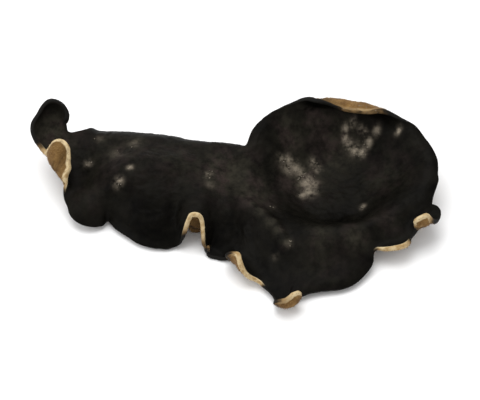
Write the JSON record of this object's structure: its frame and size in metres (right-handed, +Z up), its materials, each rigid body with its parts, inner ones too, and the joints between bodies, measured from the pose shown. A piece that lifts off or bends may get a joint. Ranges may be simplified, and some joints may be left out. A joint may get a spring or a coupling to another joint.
{
  "type": "wood ear mushroom",
  "caption": "Dried ear-shaped fungus: one thin dark sheet with an arched lobe, a shallow dish, a low front flap and rolled pale margins, standing on a short flat-cut stub.",
  "frame": {"origin": "centre of the stub's flat cut, on the surface that the ear rests on", "axes": "+X along the ear from the arched lobe to the dish, +Y from the front flap to the back rim, +Z up"},
  "size_m": [0.0999, 0.0577, 0.0175],
  "materials": {
    "dried_flesh": "near-black and waxy above, pale tan felt below, cream cut margin"
  },
  "bodies": {
    "root": {"wood_ear": "dried_flesh"}
  },
  "joints": []
}
